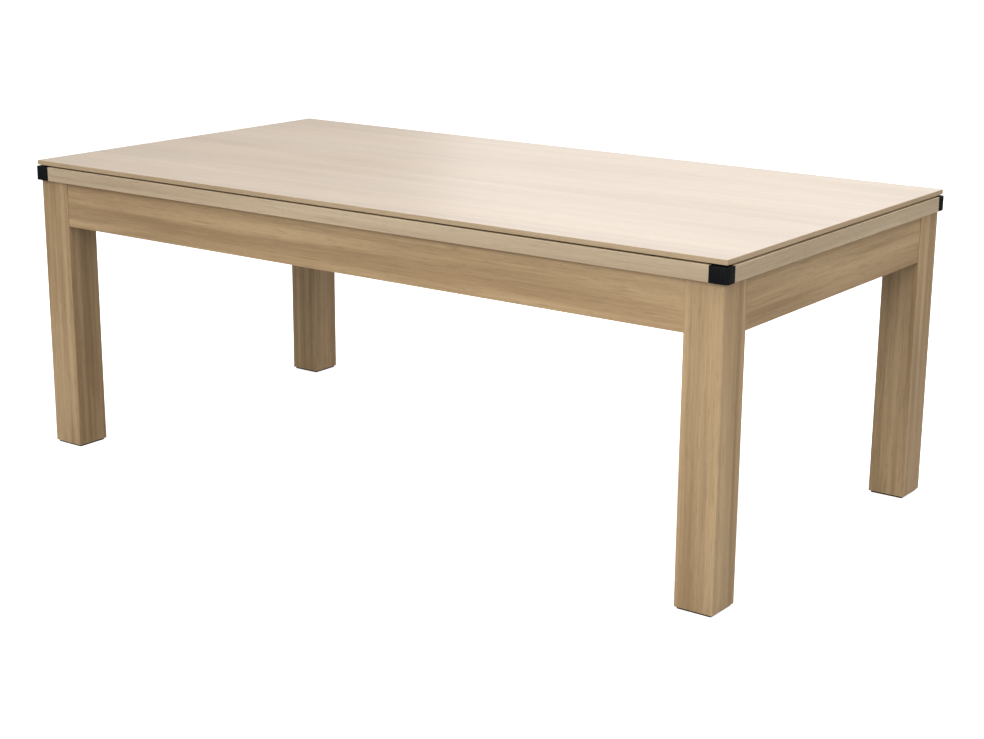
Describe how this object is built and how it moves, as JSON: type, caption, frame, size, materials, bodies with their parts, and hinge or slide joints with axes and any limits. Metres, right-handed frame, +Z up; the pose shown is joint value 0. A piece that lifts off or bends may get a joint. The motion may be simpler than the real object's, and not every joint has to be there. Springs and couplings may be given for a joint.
{
  "type": "pool table",
  "caption": "Pool table in pale oak decor with a lift-off dining top, black corner castings, drop pockets with nets and adjustable feet.",
  "frame": {"origin": "on the floor under the middle of the table", "axes": "+X along the length towards the right end, +Y across the width towards the back, +Z up; the front is the long side that faces -Y"},
  "size_m": [2.142, 1.112, 0.8],
  "materials": {
    "oak_decor": "satin oak grain",
    "raw_pine": "planed, unfinished",
    "raw_board": "raw fibreboard",
    "baize": "napped wool cloth",
    "black_moulding": "fine-textured black",
    "net_cord": "knitted black cord",
    "zinc_steel": "zinc plated",
    "insert_brass": "plain",
    "black_rubber": "matt rubber"
  },
  "bodies": {
    "table_frame": {"leg_front_left": "oak_decor", "leg_front_right": "oak_decor", "leg_back_left": "oak_decor", "leg_back_right": "oak_decor", "foot_plate_front_left": "black_moulding", "foot_plate_front_right": "black_moulding", "foot_plate_back_left": "black_moulding", "foot_plate_back_right": "black_moulding", "leveller_inserts": "insert_brass", "apron_front": "oak_decor", "apron_back": "oak_decor", "apron_left": "oak_decor", "apron_right": "oak_decor", "corner_bracket_front_left": "zinc_steel", "corner_bracket_front_right": "zinc_steel", "corner_bracket_back_left": "zinc_steel", "corner_bracket_back_right": "zinc_steel", "leg_bolts": "zinc_steel", "bracket_screws": "zinc_steel", "ledger_front": "raw_pine", "ledger_back": "raw_pine", "ledger_left": "raw_pine", "ledger_right": "raw_pine", "cross_beam_1": "raw_pine", "cross_beam_2": "raw_pine", "cross_beam_3": "raw_pine", "cross_beam_4": "raw_pine", "bed_panel": "raw_board", "bed_cloth": "baize", "rail_front": "oak_decor", "rail_back": "oak_decor", "rail_left": "oak_decor", "rail_right": "oak_decor", "rail_bolts": "zinc_steel", "threaded_inserts": "insert_brass", "cushion_front_left": "baize", "cushion_front_right": "baize", "cushion_back_left": "baize", "cushion_back_right": "baize", "cushion_left": "baize", "cushion_right": "baize", "corner_casting_front_left": "black_moulding", "corner_casting_front_right": "black_moulding", "corner_casting_back_left": "black_moulding", "corner_casting_back_right": "black_moulding", "side_pocket_liner_front": "black_moulding", "side_pocket_liner_back": "black_moulding", "pocket_net_front_left": "net_cord", "pocket_net_front_right": "net_cord", "pocket_net_back_left": "net_cord", "pocket_net_back_right": "net_cord", "pocket_net_side_front": "net_cord", "pocket_net_side_back": "net_cord"},
    "dining_top": {"dining_top": "oak_decor", "dining_top_pads": "black_rubber"},
    "leveller_front_left": {"leveller_front_left": "zinc_steel"},
    "leveller_front_right": {"leveller_front_right": "zinc_steel"},
    "leveller_back_left": {"leveller_back_left": "zinc_steel"},
    "leveller_back_right": {"leveller_back_right": "zinc_steel"}
  },
  "joints": [
    {"name": "dining_top_lift", "type": "slide", "parent": "table_frame", "child": "dining_top", "axis": [0, 0, 1], "range_m": [0, 0.3]},
    {"name": "leveller_front_left_screw", "type": "slide", "parent": "table_frame", "child": "leveller_front_left", "axis": [0, 0, -1], "range_m": [0, 0.015]},
    {"name": "leveller_front_right_screw", "type": "slide", "parent": "table_frame", "child": "leveller_front_right", "axis": [0, 0, -1], "range_m": [0, 0.015]},
    {"name": "leveller_back_left_screw", "type": "slide", "parent": "table_frame", "child": "leveller_back_left", "axis": [0, 0, -1], "range_m": [0, 0.015]},
    {"name": "leveller_back_right_screw", "type": "slide", "parent": "table_frame", "child": "leveller_back_right", "axis": [0, 0, -1], "range_m": [0, 0.015]}
  ]
}
